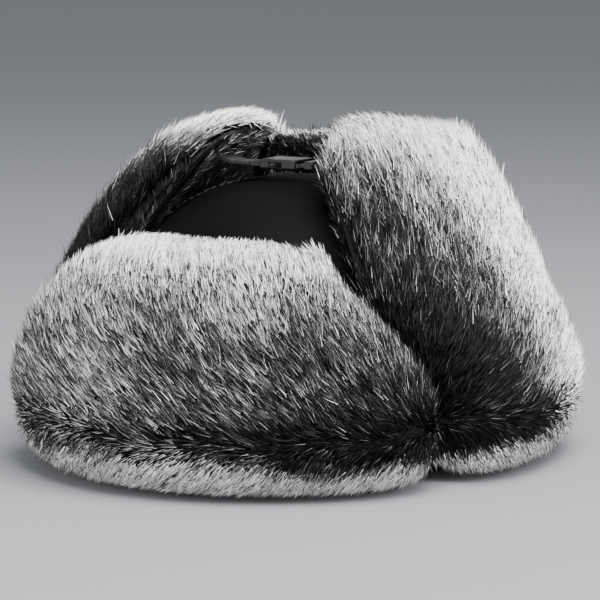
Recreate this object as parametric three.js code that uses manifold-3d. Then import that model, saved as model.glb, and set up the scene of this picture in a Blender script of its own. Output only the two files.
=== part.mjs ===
// A trapper hat with a black leather crown and deep frosted fur flaps, shown with its flaps folded up.
// Frame, in millimetres: +Z up, +X to the wearer's left, -Y to the front. The origin is on the flat lower
// edge of the hat, in the middle of the head opening.
//
// The crown is a dome of four leather wedges over wadding and a lining. Each flap is a curved sandwich of
// leather shell, interlining and fur that rises from a thick rounded fold at the hat's lower edge. The ear
// flaps and the neck flap turn about their folds. The front flap is tacked to the crown.

import * as THREE from "three";
import { mergeVertices } from "three/addons/utils/BufferGeometryUtils.js";
import Module from "manifold-3d";

// ---- driving dimensions ----
const GAP = 0.3; // clearance between pieces that touch
const CROWN_X = 95; // half width of the crown at its lower edge
const CROWN_Y = 112; // half length of the crown at its lower edge
const CROWN_HEIGHT = 141;
const WALL_STRAIGHT = 40; // height up to which the crown's wall stands upright
const DOME_POWER = 2.4; // superellipse power of the dome, 2 is an ellipse
const WEDGE_TIP = 0.012; // the wedges' tips stop at this share of the crown's half width
const FACET = 10; // degrees that each facet round the hat takes

const LEATHER = 1.6;
const WADDING = 4;
const LINING = 1.4;
const SWEATBAND = 1.5;
const SWEATBAND_HEIGHT = 34;
const BINDING_HEIGHT = 2;

const SEAM_ANGLE = 60; // the front and back wedges each reach this far round from their middle
const FRONT_FLAP_ANGLE = 64; // half of the front flap's reach round the hat
const EAR_FLAP_START = 68;
const EAR_FLAP_END = 130;
const NECK_FLAP_ANGLE = 46;

const FLAP_STANDOFF = 3; // gap between the crown's lower edge and a folded flap
const INTERLINING = 2;
const FOLD_RADIUS = 20; // radius of the thick fold at a flap's base
const FOLD_HEIGHT = 20.5; // height of the fold's centre, which the flap turns about
const FOLD_OFFSET = 23; // from the flap's inner face out to the fold's centre
const SWEEP = 15; // degrees that the upper half of the front parting leans towards the front

const STRAP_Y = -16; // the strap crosses the crown just in front of its middle
const STRAP_Z = 148;
const STRAP_PIVOT_X = 27;
const STRAP_WIDTH = 15;
const WEBBING = 1.5;
const SLIDER_LENGTH = 5;
const SOCKET_FROM = -9; // the socket's mouth
const SOCKET_TO = 12;
const BUCKLE_WIDTH = 21;
const BUCKLE_HEIGHT = 5.6;
const BUCKLE_WALL = 1.4;
const PLUG_THICKNESS = 2;
const PLUG_LENGTH = 7;
const ARM_LENGTH = 12;

// ---- materials ----
const material = (color, roughness, metalness = 0) =>
  new THREE.MeshStandardMaterial({ color, roughness, metalness });
const leather = material(0x151516, 0.5);
const wadding = material(0xd8d6cf, 0.95);
const satin = material(0x1b1b1e, 0.4);
const bandLeather = material(0x1a1817, 0.6);
const interlining = material(0x3b3b3d, 0.9);
const fur = material(0x8c8a87, 0.95);
const webbing = material(0x121213, 0.8);
const plastic = material(0x0d0d0e, 0.35);
const thread = material(0x1c1c1c, 0.7);

const { Manifold, Mesh: ManifoldMesh } = await Module().then((wasm) => {
  wasm.setup();
  return wasm;
});

const hat = new THREE.Group();

function add(name, geometry, finish) {
  const mesh = new THREE.Mesh(geometry, finish);
  mesh.name = name;
  hat.add(mesh);
}

// ---- building blocks ----
const radians = THREE.MathUtils.degToRad;
const spread = (from, to, count) =>
  Array.from({ length: count + 1 }, (_, i) => from + ((to - from) * i) / count);

// The facet angles from one angle to another: both ends, and the multiples of FACET in between.
function roundStops(from, to) {
  const first = Math.floor(from / FACET) + 1;
  const last = Math.ceil(to / FACET) - 1;
  return [from, ...spread(first, last, last - first).map((i) => i * FACET), to];
}

const fullRound = spread(0, 360 - FACET, 360 / FACET - 1);

function signedVolume(points, faces) {
  return faces.reduce((sum, [a, b, c]) => {
    const normal = new THREE.Vector3().crossVectors(points[b], points[c]);
    return sum + points[a].dot(normal) / 6;
  }, 0);
}

// Turns points and triangles into a closed solid whose faces point outwards. Triangles that shrink to a
// line where points meet, as at a dome's top, are dropped.
function solid(points, faces) {
  const flip = signedVolume(points, faces) < 0;
  const geometry = new THREE.BufferGeometry().setFromPoints(points);
  geometry.setIndex(faces.flatMap(([a, b, c]) => (flip ? [a, c, b] : [a, b, c])));
  const merged = mergeVertices(geometry, 1e-4);
  const index = [];
  for (let i = 0; i < merged.index.count; i += 3) {
    const corners = [0, 1, 2].map((k) => merged.index.getX(i + k));
    if (new Set(corners).size === 3) index.push(...corners);
  }
  merged.setIndex(index);
  return merged;
}

// Skins a row of outlines. Each section is { outline: [Vector2...], place: Vector2 => Vector3 }, and all
// outlines have as many points. A row that isn't a ring is closed by a flat cap at each end. Every facet's
// diagonal climbs from one section to the next, so that layers side by side are faceted alike.
function loft(sections, ring = false) {
  const points = sections.flatMap(({ outline, place }) => outline.map(place));
  const n = sections[0].outline.length;
  const faces = [];
  const rows = ring ? sections.length : sections.length - 1;
  for (let i = 0; i < rows; i++)
    for (let j = 0; j < n; j++) {
      const next = (i + 1) % sections.length;
      const [a, b] = [i * n + j, i * n + ((j + 1) % n)];
      const [c, d] = [next * n + j, next * n + ((j + 1) % n)];
      if (points[b].z > points[a].z) faces.push([a, b, d], [a, d, c]);
      else faces.push([a, b, c], [b, d, c]);
    }
  if (!ring)
    [0, sections.length - 1].forEach((i) => {
      const cap = THREE.ShapeUtils.triangulateShape(sections[i].outline, []);
      const turned = THREE.ShapeUtils.area(sections[i].outline) < 0 !== (i === 0);
      cap.forEach(([a, b, c]) => {
        const face = turned ? [a, c, b] : [a, b, c];
        faces.push(face.map((v) => v + i * n));
      });
    });
  return solid(points, faces);
}

function box(sizeX, sizeY, sizeZ, x, y, z) {
  return new THREE.BoxGeometry(sizeX, sizeY, sizeZ).translate(x, y, z);
}

// ---- crown ----
// Angles run round the hat from its front, 0, to the wearer's left, 90.
const BODY_BOTTOM = BINDING_HEIGHT + GAP;

// A point at an angle on the crown's plan ellipse, moved in by depth and scaled to a share of its size.
const onCrown = (angle, depth, share, z) =>
  new THREE.Vector3(
    (CROWN_X - depth) * share * Math.sin(radians(angle)),
    -(CROWN_Y - depth) * share * Math.cos(radians(angle)),
    z,
  );

// A dome that is inset from the crown's outer face, as sections at the angles. tip is the share of the
// half width at which it stops short of the middle.
function domeLayer(inset, thickness, angles, tip = 0) {
  const turns = spread(0, Math.acos(tip ** (DOME_POWER / 2)), 8);
  const side = (depth) => [
    { depth, share: 1, z: BODY_BOTTOM },
    ...turns.map((turn) => ({
      depth,
      share: Math.max(Math.cos(turn), 0) ** (2 / DOME_POWER),
      z: WALL_STRAIGHT + (CROWN_HEIGHT - depth - WALL_STRAIGHT) * Math.sin(turn) ** (2 / DOME_POWER),
    })),
  ];
  const outline = [...side(inset), ...side(inset + thickness).reverse()].map((p) =>
    Object.assign(new THREE.Vector2((CROWN_X - p.depth) * p.share, p.z), p),
  );
  return angles.map((angle) => ({
    outline,
    place: (p) => onCrown(angle, p.depth, p.share, p.z),
  }));
}

// A band of rectangular section that follows the crown's plan ellipse.
function ellipseBand(inset, thickness, bottom, top, angles) {
  const outline = [
    new THREE.Vector2(inset, bottom),
    new THREE.Vector2(inset, top),
    new THREE.Vector2(inset + thickness, top),
    new THREE.Vector2(inset + thickness, bottom),
  ];
  return angles.map((angle) => ({ outline, place: (p) => onCrown(angle, p.x, 1, p.y) }));
}

function crown() {
  const seam = 0.2; // half of the gap at a seam, in degrees
  const wedges = {
    crown_wedge_front: [-SEAM_ANGLE, SEAM_ANGLE],
    crown_wedge_left: [SEAM_ANGLE, 180 - SEAM_ANGLE],
    crown_wedge_back: [180 - SEAM_ANGLE, 180 + SEAM_ANGLE],
    crown_wedge_right: [180 + SEAM_ANGLE, 360 - SEAM_ANGLE],
  };
  for (const [name, [from, to]] of Object.entries(wedges))
    add(name, loft(domeLayer(0, LEATHER, roundStops(from + seam, to - seam), WEDGE_TIP)), leather);

  const waddingInset = LEATHER + GAP;
  const liningInset = waddingInset + WADDING + GAP;
  const bandInset = liningInset + LINING + GAP;
  const full = (sections) => loft(sections, true);
  const band = (inset, thickness, bottom, top) =>
    full(ellipseBand(inset, thickness, bottom, top, fullRound));
  add("crown_wadding", full(domeLayer(waddingInset, WADDING, fullRound)), wadding);
  add("crown_lining", full(domeLayer(liningInset, LINING, fullRound)), satin);
  add("sweatband", band(bandInset, SWEATBAND, BODY_BOTTOM, SWEATBAND_HEIGHT), bandLeather);
  add("edge_binding", band(0, bandInset + SWEATBAND, 0, BINDING_HEIGHT), bandLeather);
}

// ---- flaps ----
// A flap's section is drawn in its own plane: x is the distance outwards from the flap's inner face at its
// base, negative where the flap leans in over the crown, and y is the height.
const EAR_INNER = [
  [0, 13], [0, 30], [0, 47], [-1.5, 62], [-5.5, 83], [-13, 105],
  [-21, 122], [-30, 136], [-38, 147], [-47, 155], [-55, 160], [-62, 162],
];
const FRONT_INNER = [
  [0, 13], [0, 30], [0, 45], [-1, 60], [-4, 75], [-8, 88], [-13, 100], [-20, 111],
];
const NECK_INNER = [
  [0, 13], [0, 30], [0, 45], [-1, 62], [-4, 80], [-9, 98], [-15, 112], [-23, 125], [-31, 135],
  [-40, 144], [-50, 151],
];

// A flap's full thickness, with its fur, at shares of the way up the inner curve.
const thicknessCurve = (shares, values) => {
  const interpolant = new THREE.CubicInterpolant(shares, values, 1, [0]);
  return (share) => interpolant.evaluate(share)[0];
};
const EAR_THICKNESS = thicknessCurve(
  [0, 0.18, 0.26, 0.37, 0.49, 0.59, 0.75, 1],
  [43, 42, 37, 30, 25, 21, 16, 13],
);
const FRONT_THICKNESS = thicknessCurve(
  [0, 0.3, 0.44, 0.57, 0.71, 0.83, 0.94, 1],
  [43, 42.5, 39, 34, 28, 23, 18, 15],
);
const NECK_THICKNESS = thicknessCurve(
  [0, 0.22, 0.33, 0.45, 0.57, 0.69, 0.84, 1],
  [43, 42.5, 39, 33, 27, 22, 17, 14],
);

const SECTION_STEPS = 9;
const TIP_ROUNDING = 0.2; // share of a flap's height over which its upper edge is rounded
const END_ROUNDING = 12; // degrees over which a flap's ends are rounded

const smooth = THREE.MathUtils.smoothstep;

// A section's curve. lean scales how far it reaches in over the crown.
const curve = (points, lean) =>
  new THREE.SplineCurve(points.map(([x, z]) => new THREE.Vector2(x < 0 ? x * lean : x, z)));

// Each flap's span round the hat, its section, and how lean and reach, the share of its full height,
// change along it.
const FRONT_FLAP = {
  name: "front_flap",
  from: -FRONT_FLAP_ANGLE,
  to: FRONT_FLAP_ANGLE,
  inner: FRONT_INNER,
  thickness: FRONT_THICKNESS,
  lean: () => 1,
  reach: (angle) =>
    1 - 0.08 * smooth(Math.abs(angle), 20, 50) - 0.3 * smooth(Math.abs(angle), 50, 66),
};
const NECK_FLAP = {
  name: "neck_flap",
  from: 180 - NECK_FLAP_ANGLE,
  to: 180 + NECK_FLAP_ANGLE,
  inner: NECK_INNER,
  thickness: NECK_THICKNESS,
  lean: (angle) => 1 - 0.3 * smooth(Math.abs(angle - 180), 8, 36),
  reach: () => 1,
};
const earFlap = (name, mirror) => ({
  name,
  mirror,
  from: EAR_FLAP_START,
  to: EAR_FLAP_END,
  inner: EAR_INNER,
  thickness: EAR_THICKNESS,
  lean: (angle) => 1.1 + 0.2 * (1 - smooth(angle, 66, 84)) - 0.5 * smooth(angle, 94, 132),
  reach: (angle) => 1 - 0.26 * (1 - smooth(angle, 62, 88)) - 0.09 * smooth(angle, 98, 134),
});

// Where a flap's section stands: square to the plan ellipse of the flaps' inner faces. Near the parting
// between the front flap and an ear flap, the sections lean towards the front as they rise.
function flapPlane(angle, mirror = 1) {
  const [halfX, halfY] = [CROWN_X + FLAP_STANDOFF, CROWN_Y + FLAP_STANDOFF];
  const side = Math.abs(angle);
  const swept = SWEEP * Math.sign(angle) * smooth(side, 30, 62) * (1 - smooth(side, 70, 104));
  return (p) => {
    const a = radians(angle - swept * smooth(p.y, FOLD_HEIGHT, 100));
    const foot = new THREE.Vector2(halfX * Math.sin(a), -halfY * Math.cos(a));
    const out = new THREE.Vector2(Math.sin(a) / halfX, -Math.cos(a) / halfY).normalize();
    return new THREE.Vector3(mirror * (foot.x + out.x * p.x), foot.y + out.y * p.x, p.y);
  };
}

// The point on a section's inner curve at t, moved outwards from the crown by a distance.
function offsetPoint(inner, t, distance) {
  const tangent = inner.getTangentAt(t);
  return inner.getPointAt(t).addScaledVector(new THREE.Vector2(tangent.y, -tangent.x), distance);
}

// The section of a thin layer along the flap's inner face, between two distances out from it.
function sheetOutline(inner, near, far, reach) {
  const along = spread(0, reach, SECTION_STEPS);
  return [
    ...along.map((t) => offsetPoint(inner, t, near)),
    ...along.reverse().map((t) => offsetPoint(inner, t, far)),
  ];
}

// The fur's section: up the layer behind it, over the rounded upper edge, down the outer face and round
// the fold. fullness is 1 in the flap's middle and falls towards its ends.
function furOutline(inner, thickness, near, reach, fullness) {
  const back = spread(0, reach, SECTION_STEPS)
    .slice(1)
    .map((t) => offsetPoint(inner, t, near));
  const face = spread(0.05, reach * 0.998, SECTION_STEPS + 3).map((t) => {
    const past = Math.max(0, (t - (reach - TIP_ROUNDING)) / TIP_ROUNDING);
    const full = fullness * Math.sqrt(1 - 0.98 * Math.min(1, past) ** 2);
    return offsetPoint(inner, t, near + (thickness(t) - near) * full);
  });
  const centre = new THREE.Vector2(near + (FOLD_OFFSET - near) * fullness, FOLD_HEIGHT);
  const fold = spread(-15, -145, 5).map((turn) =>
    new THREE.Vector2(Math.cos(radians(turn)), Math.sin(radians(turn)))
      .multiplyScalar(FOLD_RADIUS * fullness)
      .add(centre),
  );
  return [...back, ...face.reverse(), ...fold];
}

function endFullness(angle, from, to) {
  const inside = Math.min(angle - from, to - angle) / END_ROUNDING;
  return inside >= 1 ? 1 : Math.sqrt(1 - 0.86 * (1 - inside) ** 2);
}

// A flap's section angles: every facet, and closer together round its ends.
function flapStops(from, to) {
  const [near, far] = [1.5, 5];
  return [from, from + near, ...roundStops(from + far, to - far), to - near, to];
}

// One flap as three layers: leather shell, interlining and fur.
function flap({ name, from, to, inner, thickness, lean, reach, mirror }) {
  const section = (outlineAt) =>
    loft(
      flapStops(from, to).map((angle) => ({
        outline: outlineAt(angle, curve(inner, lean(angle))),
        place: flapPlane(angle, mirror),
      })),
    );
  const layer = (near, far) =>
    section((angle, innerCurve) => sheetOutline(innerCurve, near, far, reach(angle)));
  const interliningFrom = LEATHER + GAP;
  const furFrom = interliningFrom + INTERLINING + GAP;
  add(`${name}_shell`, layer(0, LEATHER), leather);
  add(`${name}_interlining`, layer(interliningFrom, interliningFrom + INTERLINING), interlining);
  const pile = section((angle, innerCurve) =>
    furOutline(innerCurve, thickness, furFrom, reach(angle), endFullness(angle, from, to)),
  );
  add(`${name}_fur`, pile, fur);
}

// The strip of leather that carries a flap along the crown's lower edge.
function foldStrip(name, { from, to, mirror = 1 }) {
  const angles = roundStops(from, to).map((angle) => mirror * angle);
  add(name, loft(ellipseBand(-GAP - LEATHER, LEATHER, BODY_BOTTOM, 11, angles)), bandLeather);
}

// A thread tack that ties the front flap's upper corner to the crown.
function frontTack(name, mirror) {
  const place = flapPlane(3 * FACET, mirror);
  const ends = [GAP - FLAP_STANDOFF, -GAP].map((x) => place(new THREE.Vector2(x, WALL_STRAIGHT)));
  const direction = ends[1].clone().sub(ends[0]);
  const tack = new THREE.CylinderGeometry(1, 1, direction.length(), 10);
  const turn = new THREE.Quaternion().setFromUnitVectors(
    new THREE.Vector3(0, 1, 0),
    direction.normalize(),
  );
  const middle = ends[0].lerp(ends[1], 0.5);
  add(name, tack.applyQuaternion(turn).translate(middle.x, middle.y, middle.z), thread);
}

function flaps() {
  const leftEar = earFlap("left_ear_flap", 1);
  const rightEar = earFlap("right_ear_flap", -1);
  [FRONT_FLAP, NECK_FLAP, leftEar, rightEar].forEach(flap);
  foldStrip("front_fold_strip", FRONT_FLAP);
  foldStrip("neck_fold_strip", NECK_FLAP);
  foldStrip("left_fold_strip", leftEar);
  foldStrip("right_fold_strip", rightEar);
  frontTack("front_flap_tack_left", 1);
  frontTack("front_flap_tack_right", -1);
}

// ---- strap and buckle ----
// Outlines here are lists of [x, y] pairs, drawn round the strap's middle line.
const shape = (outline) => new THREE.Shape(outline.map(([x, y]) => new THREE.Vector2(x, y)));

// A flat plate in the plane of the strap.
function plate(outline, thickness) {
  const slab = new THREE.ExtrudeGeometry(shape(outline), { depth: thickness, bevelEnabled: false });
  return slab.translate(0, STRAP_Y, STRAP_Z - thickness / 2);
}

// An outline across the strap, extruded along it.
function alongStrap(outline, hole, fromX, toX) {
  const section = shape(outline);
  if (hole) section.holes.push(shape(hole));
  const bar = new THREE.ExtrudeGeometry(section, { depth: toX - fromX, bevelEnabled: false });
  const turn = new THREE.Matrix4().makeBasis(
    new THREE.Vector3(0, 1, 0),
    new THREE.Vector3(0, 0, 1),
    new THREE.Vector3(1, 0, 0),
  );
  return bar.applyMatrix4(turn).translate(fromX, STRAP_Y, STRAP_Z);
}

function rectangle(halfWide, halfHigh) {
  return [
    [-halfWide, -halfHigh],
    [halfWide, -halfHigh],
    [halfWide, halfHigh],
    [-halfWide, halfHigh],
  ];
}

function chamfered(halfWide, halfHigh, cut) {
  return [
    [-halfWide + cut, -halfHigh],
    [halfWide - cut, -halfHigh],
    [halfWide, -halfHigh + cut],
    [halfWide, halfHigh - cut],
    [halfWide - cut, halfHigh],
    [-halfWide + cut, halfHigh],
    [-halfWide, halfHigh - cut],
    [-halfWide, -halfHigh + cut],
  ];
}

const toManifold = (geometry) => {
  const bare = new THREE.BufferGeometry().setAttribute("position", geometry.attributes.position);
  if (geometry.index) bare.setIndex(geometry.index);
  const merged = mergeVertices(bare, 1e-4);
  const vertProperties = new Float32Array(merged.attributes.position.array);
  const triVerts = new Uint32Array(merged.index.array);
  return new Manifold(new ManifoldMesh({ numProp: 3, vertProperties, triVerts }));
};

function fromManifold(body) {
  const mesh = body.getMesh();
  const geometry = new THREE.BufferGeometry();
  geometry.setAttribute("position", new THREE.BufferAttribute(mesh.vertProperties, 3));
  geometry.setIndex(new THREE.BufferAttribute(mesh.triVerts, 1));
  return geometry;
}

function webbingStrap(fromX, toX) {
  return alongStrap(rectangle(STRAP_WIDTH / 2, WEBBING / 2), null, fromX, toX);
}

function sliderFrame(fromX, toX) {
  const outline = chamfered(STRAP_WIDTH / 2 + 2, 2.3, 0.8);
  const slot = rectangle(STRAP_WIDTH / 2 + GAP, WEBBING / 2 + GAP);
  return alongStrap(outline, slot, fromX, toX);
}

// The socket is a flat sleeve. The plug's arms slide in at its mouth and spring out into two side windows.
function socket() {
  const [halfWide, halfHigh] = [BUCKLE_WIDTH / 2, BUCKLE_HEIGHT / 2];
  const sleeve = alongStrap(
    chamfered(halfWide, halfHigh, 1.2),
    rectangle(halfWide - 2, halfHigh - BUCKLE_WALL),
    SOCKET_FROM,
    SOCKET_TO,
  );
  const windowFrom = SOCKET_FROM + 5;
  const windowTo = SOCKET_FROM + ARM_LENGTH + 1;
  const windows = [-1, 1].map((side) =>
    new THREE.BoxGeometry(windowTo - windowFrom, 5, 2 * (halfHigh - BUCKLE_WALL)).translate(
      (windowFrom + windowTo) / 2,
      STRAP_Y + side * halfWide,
      STRAP_Z,
    ),
  );
  return fromManifold(
    windows.reduce((body, window) => body.subtract(toManifold(window)), toManifold(sleeve)),
  );
}

// The plug's body and its middle guide, which reaches into the socket.
function plug(fromX, toX) {
  const half = BUCKLE_WIDTH / 2;
  const [corner, guide] = [1.5, 1.6];
  const guideTip = fromX + ARM_LENGTH;
  return plate(
    [
      [toX, corner - half],
      [toX + corner, -half],
      [fromX, -half],
      [fromX, -guide],
      [guideTip, -guide * 0.6],
      [guideTip, guide * 0.6],
      [fromX, guide],
      [fromX, half],
      [toX + corner, half],
      [toX, half - corner],
    ],
    PLUG_THICKNESS,
  );
}

// One of the plug's two side arms, which are squeezed inwards to open the buckle. Its pad fills the
// socket's side window.
function springArm(fromX, side) {
  const [root, thickness] = [4.2, 1.8];
  const shoulder = BUCKLE_WIDTH / 2 - 2 - GAP;
  const pad = BUCKLE_WIDTH / 2;
  const [padFrom, padTo] = [SOCKET_FROM + 5 + GAP, SOCKET_FROM + ARM_LENGTH - 1.5];
  const outline = [
    [fromX + GAP, root],
    [fromX + GAP, root + thickness],
    [padFrom - 1, shoulder - 0.6],
    [padFrom, shoulder],
    [padFrom, pad],
    [padTo - 2, pad],
    [padTo, shoulder],
    [padTo + 1, shoulder - 1],
    [padTo + 1, shoulder - thickness],
    [padFrom, shoulder - thickness],
  ];
  return plate(outline.map(([x, y]) => [x, side * y]), PLUG_THICKNESS);
}

// The tab under an ear flap's tip that the strap swings from. It follows the flap's inner face.
function strapAnchor(mirror) {
  const outline = [
    [STRAP_PIVOT_X + 1, -WEBBING / 2],
    [STRAP_PIVOT_X + 1, WEBBING / 2],
    [STRAP_PIVOT_X + 4, WEBBING],
    [STRAP_PIVOT_X + 17, 4],
    [STRAP_PIVOT_X + 17, 2.5],
    [STRAP_PIVOT_X + 4, 0],
  ];
  const side = shape(outline.map(([x, z]) => [mirror * x, z]));
  return new THREE.ExtrudeGeometry(side, { depth: STRAP_WIDTH, bevelEnabled: false })
    .rotateX(Math.PI / 2)
    .translate(0, STRAP_Y + STRAP_WIDTH / 2, STRAP_Z);
}

function strap() {
  const pivotEnd = STRAP_PIVOT_X - 0.5;
  const plugFrom = SOCKET_FROM - GAP;
  const plugTo = plugFrom - PLUG_LENGTH;
  const leftFrom = SOCKET_TO + GAP;
  const sliderFrom = (leftFrom + pivotEnd - SLIDER_LENGTH) / 2;
  add("left_strap_anchor", strapAnchor(1), webbing);
  add("right_strap_anchor", strapAnchor(-1), webbing);
  add("left_strap", webbingStrap(leftFrom, pivotEnd), webbing);
  add("right_strap", webbingStrap(-pivotEnd, plugTo - GAP), webbing);
  add("strap_slider", sliderFrame(sliderFrom, sliderFrom + SLIDER_LENGTH), plastic);
  add("buckle_socket", socket(), plastic);
  add("buckle_plug", plug(plugFrom, plugTo), plastic);
  add("buckle_arm_front", springArm(plugFrom, -1), plastic);
  add("buckle_arm_back", springArm(plugFrom, 1), plastic);
}

crown();
flaps();
strap();

export default hat;
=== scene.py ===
"""A trapper hat: a black leather crown, deep frosted fur flaps folded up all round, and a buckled strap.

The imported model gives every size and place. Angles run round the hat from its front, 0, to the wearer's
left, 90 degrees. Lengths are in metres.
"""

import math

import bpy
import numpy as np
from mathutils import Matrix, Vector, noise


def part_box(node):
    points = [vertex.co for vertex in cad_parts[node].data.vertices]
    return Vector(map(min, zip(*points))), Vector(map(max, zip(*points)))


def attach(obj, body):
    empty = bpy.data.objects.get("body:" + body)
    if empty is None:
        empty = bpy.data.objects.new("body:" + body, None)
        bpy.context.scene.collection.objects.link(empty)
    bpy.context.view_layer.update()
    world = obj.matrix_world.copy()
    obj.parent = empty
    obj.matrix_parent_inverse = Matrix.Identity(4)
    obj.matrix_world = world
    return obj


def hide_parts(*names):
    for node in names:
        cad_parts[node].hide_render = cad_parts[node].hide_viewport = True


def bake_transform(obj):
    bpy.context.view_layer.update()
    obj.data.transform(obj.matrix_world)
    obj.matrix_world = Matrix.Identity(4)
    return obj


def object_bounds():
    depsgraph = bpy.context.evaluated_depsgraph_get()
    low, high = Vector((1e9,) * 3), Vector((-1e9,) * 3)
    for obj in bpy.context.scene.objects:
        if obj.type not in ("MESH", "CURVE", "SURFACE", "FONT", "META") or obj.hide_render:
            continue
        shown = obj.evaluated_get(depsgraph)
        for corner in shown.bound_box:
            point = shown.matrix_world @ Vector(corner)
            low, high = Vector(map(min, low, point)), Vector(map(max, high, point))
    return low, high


bl_info = {
    "name": "Trapper Hat",
    "version": (1, 0, 0),
    "blender": (4, 5, 0),
    "location": "View3D > Sidebar > Hat",
    "description": "Builds the leather, fur, lining and strap of a trapper hat on its packed frame",
    "category": "Object",
}

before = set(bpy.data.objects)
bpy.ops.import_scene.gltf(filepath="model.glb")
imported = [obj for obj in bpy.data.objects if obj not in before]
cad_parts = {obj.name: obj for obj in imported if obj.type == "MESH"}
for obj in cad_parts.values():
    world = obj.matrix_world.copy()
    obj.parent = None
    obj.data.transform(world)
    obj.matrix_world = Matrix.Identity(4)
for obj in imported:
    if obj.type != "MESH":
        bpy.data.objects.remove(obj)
CAD_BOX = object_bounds()
MM = 0.001
NOISE_SEED = 11
noise.seed_set(NOISE_SEED)

FLAPS = {
    "front_flap": "hat",
    "neck_flap": "neck_flap",
    "left_ear_flap": "left_ear",
    "right_ear_flap": "right_ear",
}
WEDGES = ("crown_wedge_front", "crown_wedge_left", "crown_wedge_back", "crown_wedge_right")

# The half-axes of the crown's plan ellipse, which the binding round its lower edge follows.
CROWN_X, CROWN_Y = Vector(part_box("edge_binding")[1]).xy
MEAN_RADIUS = 0.5 * (CROWN_X + CROWN_Y)
CROWN_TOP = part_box("crown_wedge_front")[1][2]
SEAMS = (60, 120, 240, 300)
FLOOR_CLEARANCE = 1.5 * MM


# ---- numbers ----
def smoothstep(x, low, high):
    """From 0 at low to 1 at high, level at both ends."""
    t = np.clip((np.asarray(x, float) - low) / (high - low), 0, 1)
    return t * t * (3 - 2 * t)


def unit(v):
    return v / np.maximum(np.linalg.norm(v, axis=-1, keepdims=True), 1e-9)


def hat_angle(points):
    """Degrees round the hat of points, on the crown's plan ellipse."""
    return np.degrees(np.arctan2(points[:, 0] / CROWN_X, -points[:, 1] / CROWN_Y))


def plan_directions(points):
    """The outward and the forward-to-left directions of points, square to and along the plan ellipse."""
    out = np.zeros_like(points)
    out[:, 0] = points[:, 0] / CROWN_X**2
    out[:, 1] = points[:, 1] / CROWN_Y**2
    out = unit(out)
    along = np.column_stack([-out[:, 1], out[:, 0], np.zeros(len(out))])
    return out, along


def on_crown(angle, inset, share, z):
    """A point at an angle round the crown, inset from its outer face and scaled to a share of its size."""
    a = math.radians(angle)
    return Vector((
        (CROWN_X - inset) * share * math.sin(a),
        -(CROWN_Y - inset) * share * math.cos(a),
        z,
    ))


# ---- materials ----
class Value:
    """A node's output. Adding to it, multiplying it or raising it to a power makes a Math node."""

    def __init__(self, shader, socket):
        self.shader = shader
        self.socket = socket

    def _maths(self, operation, a, b):
        return self.shader.node("ShaderNodeMath", {"operation": operation}, {0: a, 1: b})

    def __add__(self, other):
        return self._maths("ADD", self, other)

    def __mul__(self, other):
        return self._maths("MULTIPLY", self, other)

    def __pow__(self, other):
        return self._maths("POWER", self, other)

    __radd__, __rmul__ = __add__, __mul__


class Shader:
    """A Principled material whose changing values are built with node()."""

    def __init__(self, name, **constants):
        self.material = bpy.data.materials.new(name)
        self.material.use_nodes = True
        self.tree = self.material.node_tree
        self.surface = self.tree.nodes["Principled BSDF"]
        for socket, value in constants.items():
            self.surface.inputs[socket.replace("_", " ")].default_value = value

    def node(self, kind, settings=(), inputs=(), output=0):
        made = self.tree.nodes.new(kind)
        for key, value in dict(settings).items():
            setattr(made, key, value)
        for key, value in dict(inputs).items():
            if isinstance(value, Value):
                self.tree.links.new(value.socket, made.inputs[key])
            else:
                made.inputs[key].default_value = value
        return Value(self, made.outputs[output])

    def place(self, turn=0.0):
        """The point on the surface, in metres, turned about Z by an angle in radians."""
        point = self.node("ShaderNodeTexCoord", output="Object")
        return self.node("ShaderNodeMapping", (), {"Vector": point, "Rotation": (0, 0, turn)})

    def noise(self, scale, detail=4.0, roughness=0.55):
        inputs = {"Scale": scale, "Detail": detail, "Roughness": roughness, "Vector": self.place()}
        return self.node("ShaderNodeTexNoise", (), inputs)

    def rounded_cells(self, scale):
        inputs = {"Scale": scale, "Vector": self.place()}
        return self.node("ShaderNodeTexVoronoi", {"feature": "SMOOTH_F1"}, inputs)

    def waves(self, scale, direction, at):
        settings = {"wave_type": "BANDS", "bands_direction": direction, "wave_profile": "SIN"}
        return self.node("ShaderNodeTexWave", settings, {"Scale": scale, "Vector": at}, "Fac")

    def mix(self, factor, a, b):
        """A colour from a, where the factor is 0, to b, where it is 1."""
        numbered_inputs = {0: factor, 6: (*a, 1), 7: (*b, 1)}
        return self.node("ShaderNodeMix", {"data_type": "RGBA"}, numbered_inputs, 2)

    def feed(self, **values):
        for socket, value in values.items():
            self.tree.links.new(value.socket, self.surface.inputs[socket.replace("_", " ")])

    def bump(self, height, distance, strength):
        """Feeds the normal and returns the finished material."""
        inputs = {"Strength": strength, "Distance": distance, "Height": height}
        self.feed(Normal=self.node("ShaderNodeBump", (), inputs))
        return self.material


def leather_material(name, colour, roughness, grain):
    """Smooth leather: rounded grain cells, fine creases and a patchy sheen."""
    s = Shader(name, Specular_IOR_Level=0.035)
    patches = s.noise(22.0, 3.0)
    pores = s.rounded_cells(1 / grain)
    creases = s.noise(140.0, 5.0, 0.65)
    worn = [min(1.0, c * 2.1 + 0.001) for c in colour]
    s.feed(
        Base_Color=s.mix(patches**2.0, colour, worn),
        Roughness=patches * 0.16 + pores * 0.14 + (roughness - 0.12),
    )
    return s.bump(pores * 0.7 + creases * 0.45, 0.18 * MM, 0.6)


# At a scale of 1, a wave texture's phase turns through this many radians in each metre.
WAVE_RADIANS = 20


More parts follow.
